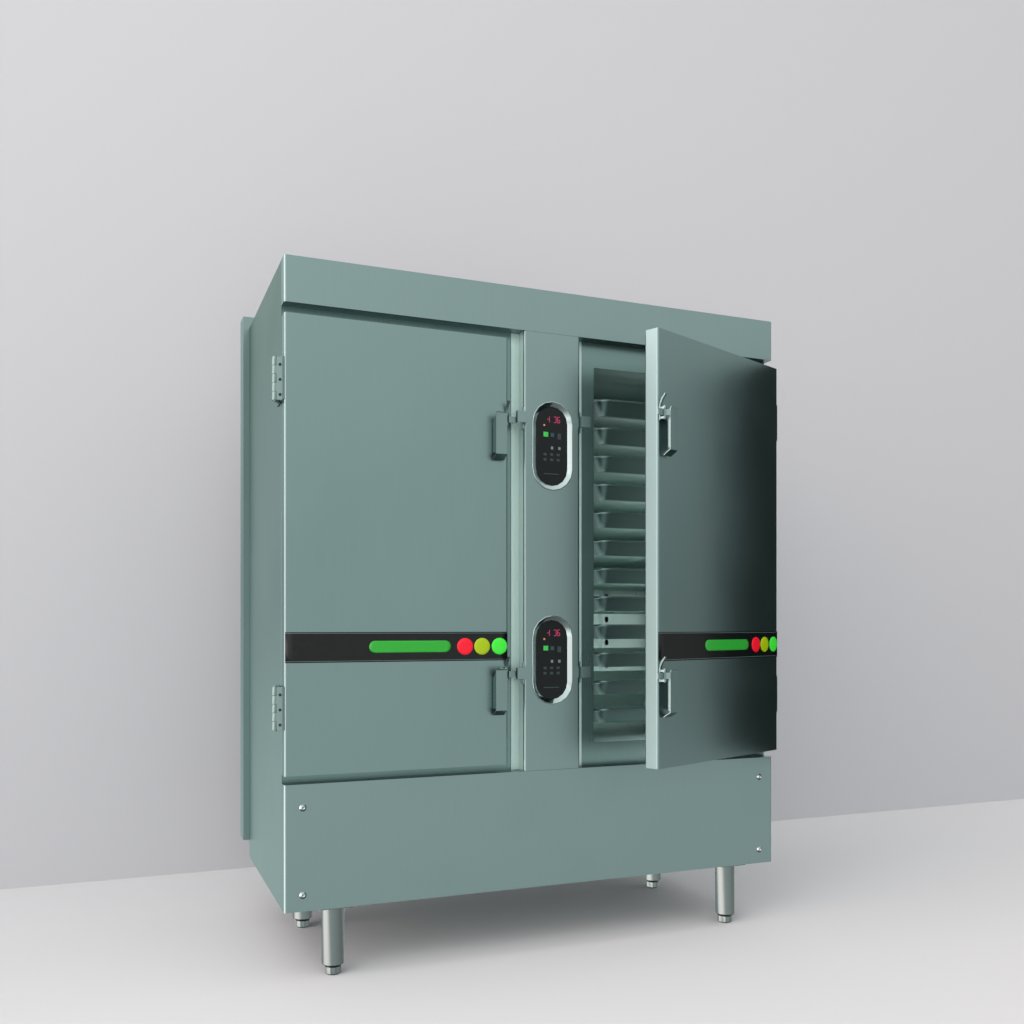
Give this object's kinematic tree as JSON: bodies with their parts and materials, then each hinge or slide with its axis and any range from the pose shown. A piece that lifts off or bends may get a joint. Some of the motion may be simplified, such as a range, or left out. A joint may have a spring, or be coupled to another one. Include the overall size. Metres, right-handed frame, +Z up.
{
  "type": "steamer cabinet",
  "caption": "Commercial double-door steaming cabinet with stacked pans, lever latches, a control column and a water tank, on levelling legs.",
  "frame": {"origin": "under the middle of the outer box, on the floor", "axes": "+Z up, -Y towards the front with the doors, +X to the right as seen from the front"},
  "size_m": [1.2956, 0.8534, 1.583],
  "materials": {
    "satin_steel": "satin stainless sheet, green-grey in this light",
    "liner_steel": "plain stainless sheet",
    "pan_steel": "pressed stainless sheet",
    "polished_steel": "polished stainless steel",
    "cast_steel": "cast and tumbled stainless steel",
    "black_glass": "black printed glass",
    "grey_rubber": "silicone rubber",
    "dark_alloy": "heat-darkened alloy tube"
  },
  "bodies": {
    "cabinet": {"base_frame": "satin_steel", "outer_wrap": "satin_steel", "header_fascia": "satin_steel", "lower_front_panel": "satin_steel", "centre_column": "satin_steel", "right_chamber_liner": "liner_steel", "left_chamber_liner": "liner_steel", "rear_housing": "satin_steel", "water_tank": "liner_steel", "heating_element": "dark_alloy", "front_left_leg": "polished_steel", "front_right_leg": "polished_steel", "rear_left_leg": "polished_steel", "rear_right_leg": "polished_steel", "left_rack_outer_side": "liner_steel", "left_rack_inner_side": "liner_steel", "right_rack_outer_side": "liner_steel", "right_rack_inner_side": "liner_steel", "pan_01": "pan_steel", "pan_02": "pan_steel", "pan_03": "pan_steel", "pan_04": "pan_steel", "pan_05": "pan_steel", "pan_06": "pan_steel", "pan_07": "pan_steel", "pan_08": "pan_steel", "pan_09": "pan_steel", "pan_10": "pan_steel", "pan_11": "pan_steel", "pan_12": "pan_steel", "lower_control_bezel": "polished_steel", "lower_control_glass": "black_glass", "upper_control_bezel": "polished_steel", "upper_control_glass": "black_glass", "left_lower_hinge_frame_leaf": "cast_steel", "left_upper_hinge_frame_leaf": "cast_steel", "right_lower_hinge_frame_leaf": "cast_steel", "right_upper_hinge_frame_leaf": "cast_steel"},
    "left_door": {"left_door_skin": "satin_steel", "left_door_liner": "liner_steel", "left_door_gasket": "grey_rubber", "left_lower_hinge_door_leaf": "cast_steel", "left_upper_hinge_door_leaf": "cast_steel", "left_lower_latch_base": "cast_steel", "left_upper_latch_base": "cast_steel"},
    "right_door": {"right_door_skin": "satin_steel", "right_door_liner": "liner_steel", "right_door_gasket": "grey_rubber", "right_lower_hinge_door_leaf": "cast_steel", "right_upper_hinge_door_leaf": "cast_steel", "right_lower_latch_base": "cast_steel", "right_upper_latch_base": "cast_steel"},
    "left_lower_latch_lever": {"left_lower_latch_lever": "polished_steel"},
    "left_upper_latch_lever": {"left_upper_latch_lever": "polished_steel"},
    "right_lower_latch_lever": {"right_lower_latch_lever": "polished_steel"},
    "right_upper_latch_lever": {"right_upper_latch_lever": "polished_steel"},
    "front_left_foot": {"front_left_foot": "polished_steel"},
    "front_right_foot": {"front_right_foot": "polished_steel"},
    "rear_left_foot": {"rear_left_foot": "polished_steel"},
    "rear_right_foot": {"rear_right_foot": "polished_steel"}
  },
  "joints": [
    {"name": "left_door_hinge", "type": "hinge", "parent": "cabinet", "child": "left_door", "pos_m": [-0.6405, -0.1823, 0.59], "axis": [0, 0, -1], "range_deg": [0, 170]},
    {"name": "right_door_hinge", "type": "hinge", "parent": "cabinet", "child": "right_door", "pos_m": [0.6405, -0.1823, 0.59], "axis": [0, 0, 1], "range_deg": [-22.8, 147.2]},
    {"name": "left_lower_latch_pin", "type": "hinge", "parent": "left_door", "child": "left_lower_latch_lever", "pos_m": [-0.123, -0.2153, 0.655], "axis": [0, 0, 1], "range_deg": [0, 35]},
    {"name": "left_upper_latch_pin", "type": "hinge", "parent": "left_door", "child": "left_upper_latch_lever", "pos_m": [-0.123, -0.2153, 1.24], "axis": [0, 0, 1], "range_deg": [0, 35]},
    {"name": "right_lower_latch_pin", "type": "hinge", "parent": "right_door", "child": "right_lower_latch_lever", "pos_m": [0.17622, -0.41326, 0.655], "axis": [0, 0, -1], "range_deg": [0, 35]},
    {"name": "right_upper_latch_pin", "type": "hinge", "parent": "right_door", "child": "right_upper_latch_lever", "pos_m": [0.17622, -0.41326, 1.24], "axis": [0, 0, -1], "range_deg": [0, 35]},
    {"name": "front_left_foot_screw", "type": "slide", "parent": "cabinet", "child": "front_left_foot", "axis": [0, 0, -1], "range_m": [0, 0.025]},
    {"name": "front_right_foot_screw", "type": "slide", "parent": "cabinet", "child": "front_right_foot", "axis": [0, 0, -1], "range_m": [0, 0.025]},
    {"name": "rear_left_foot_screw", "type": "slide", "parent": "cabinet", "child": "rear_left_foot", "axis": [0, 0, -1], "range_m": [0, 0.025]},
    {"name": "rear_right_foot_screw", "type": "slide", "parent": "cabinet", "child": "rear_right_foot", "axis": [0, 0, -1], "range_m": [0, 0.025]}
  ]
}
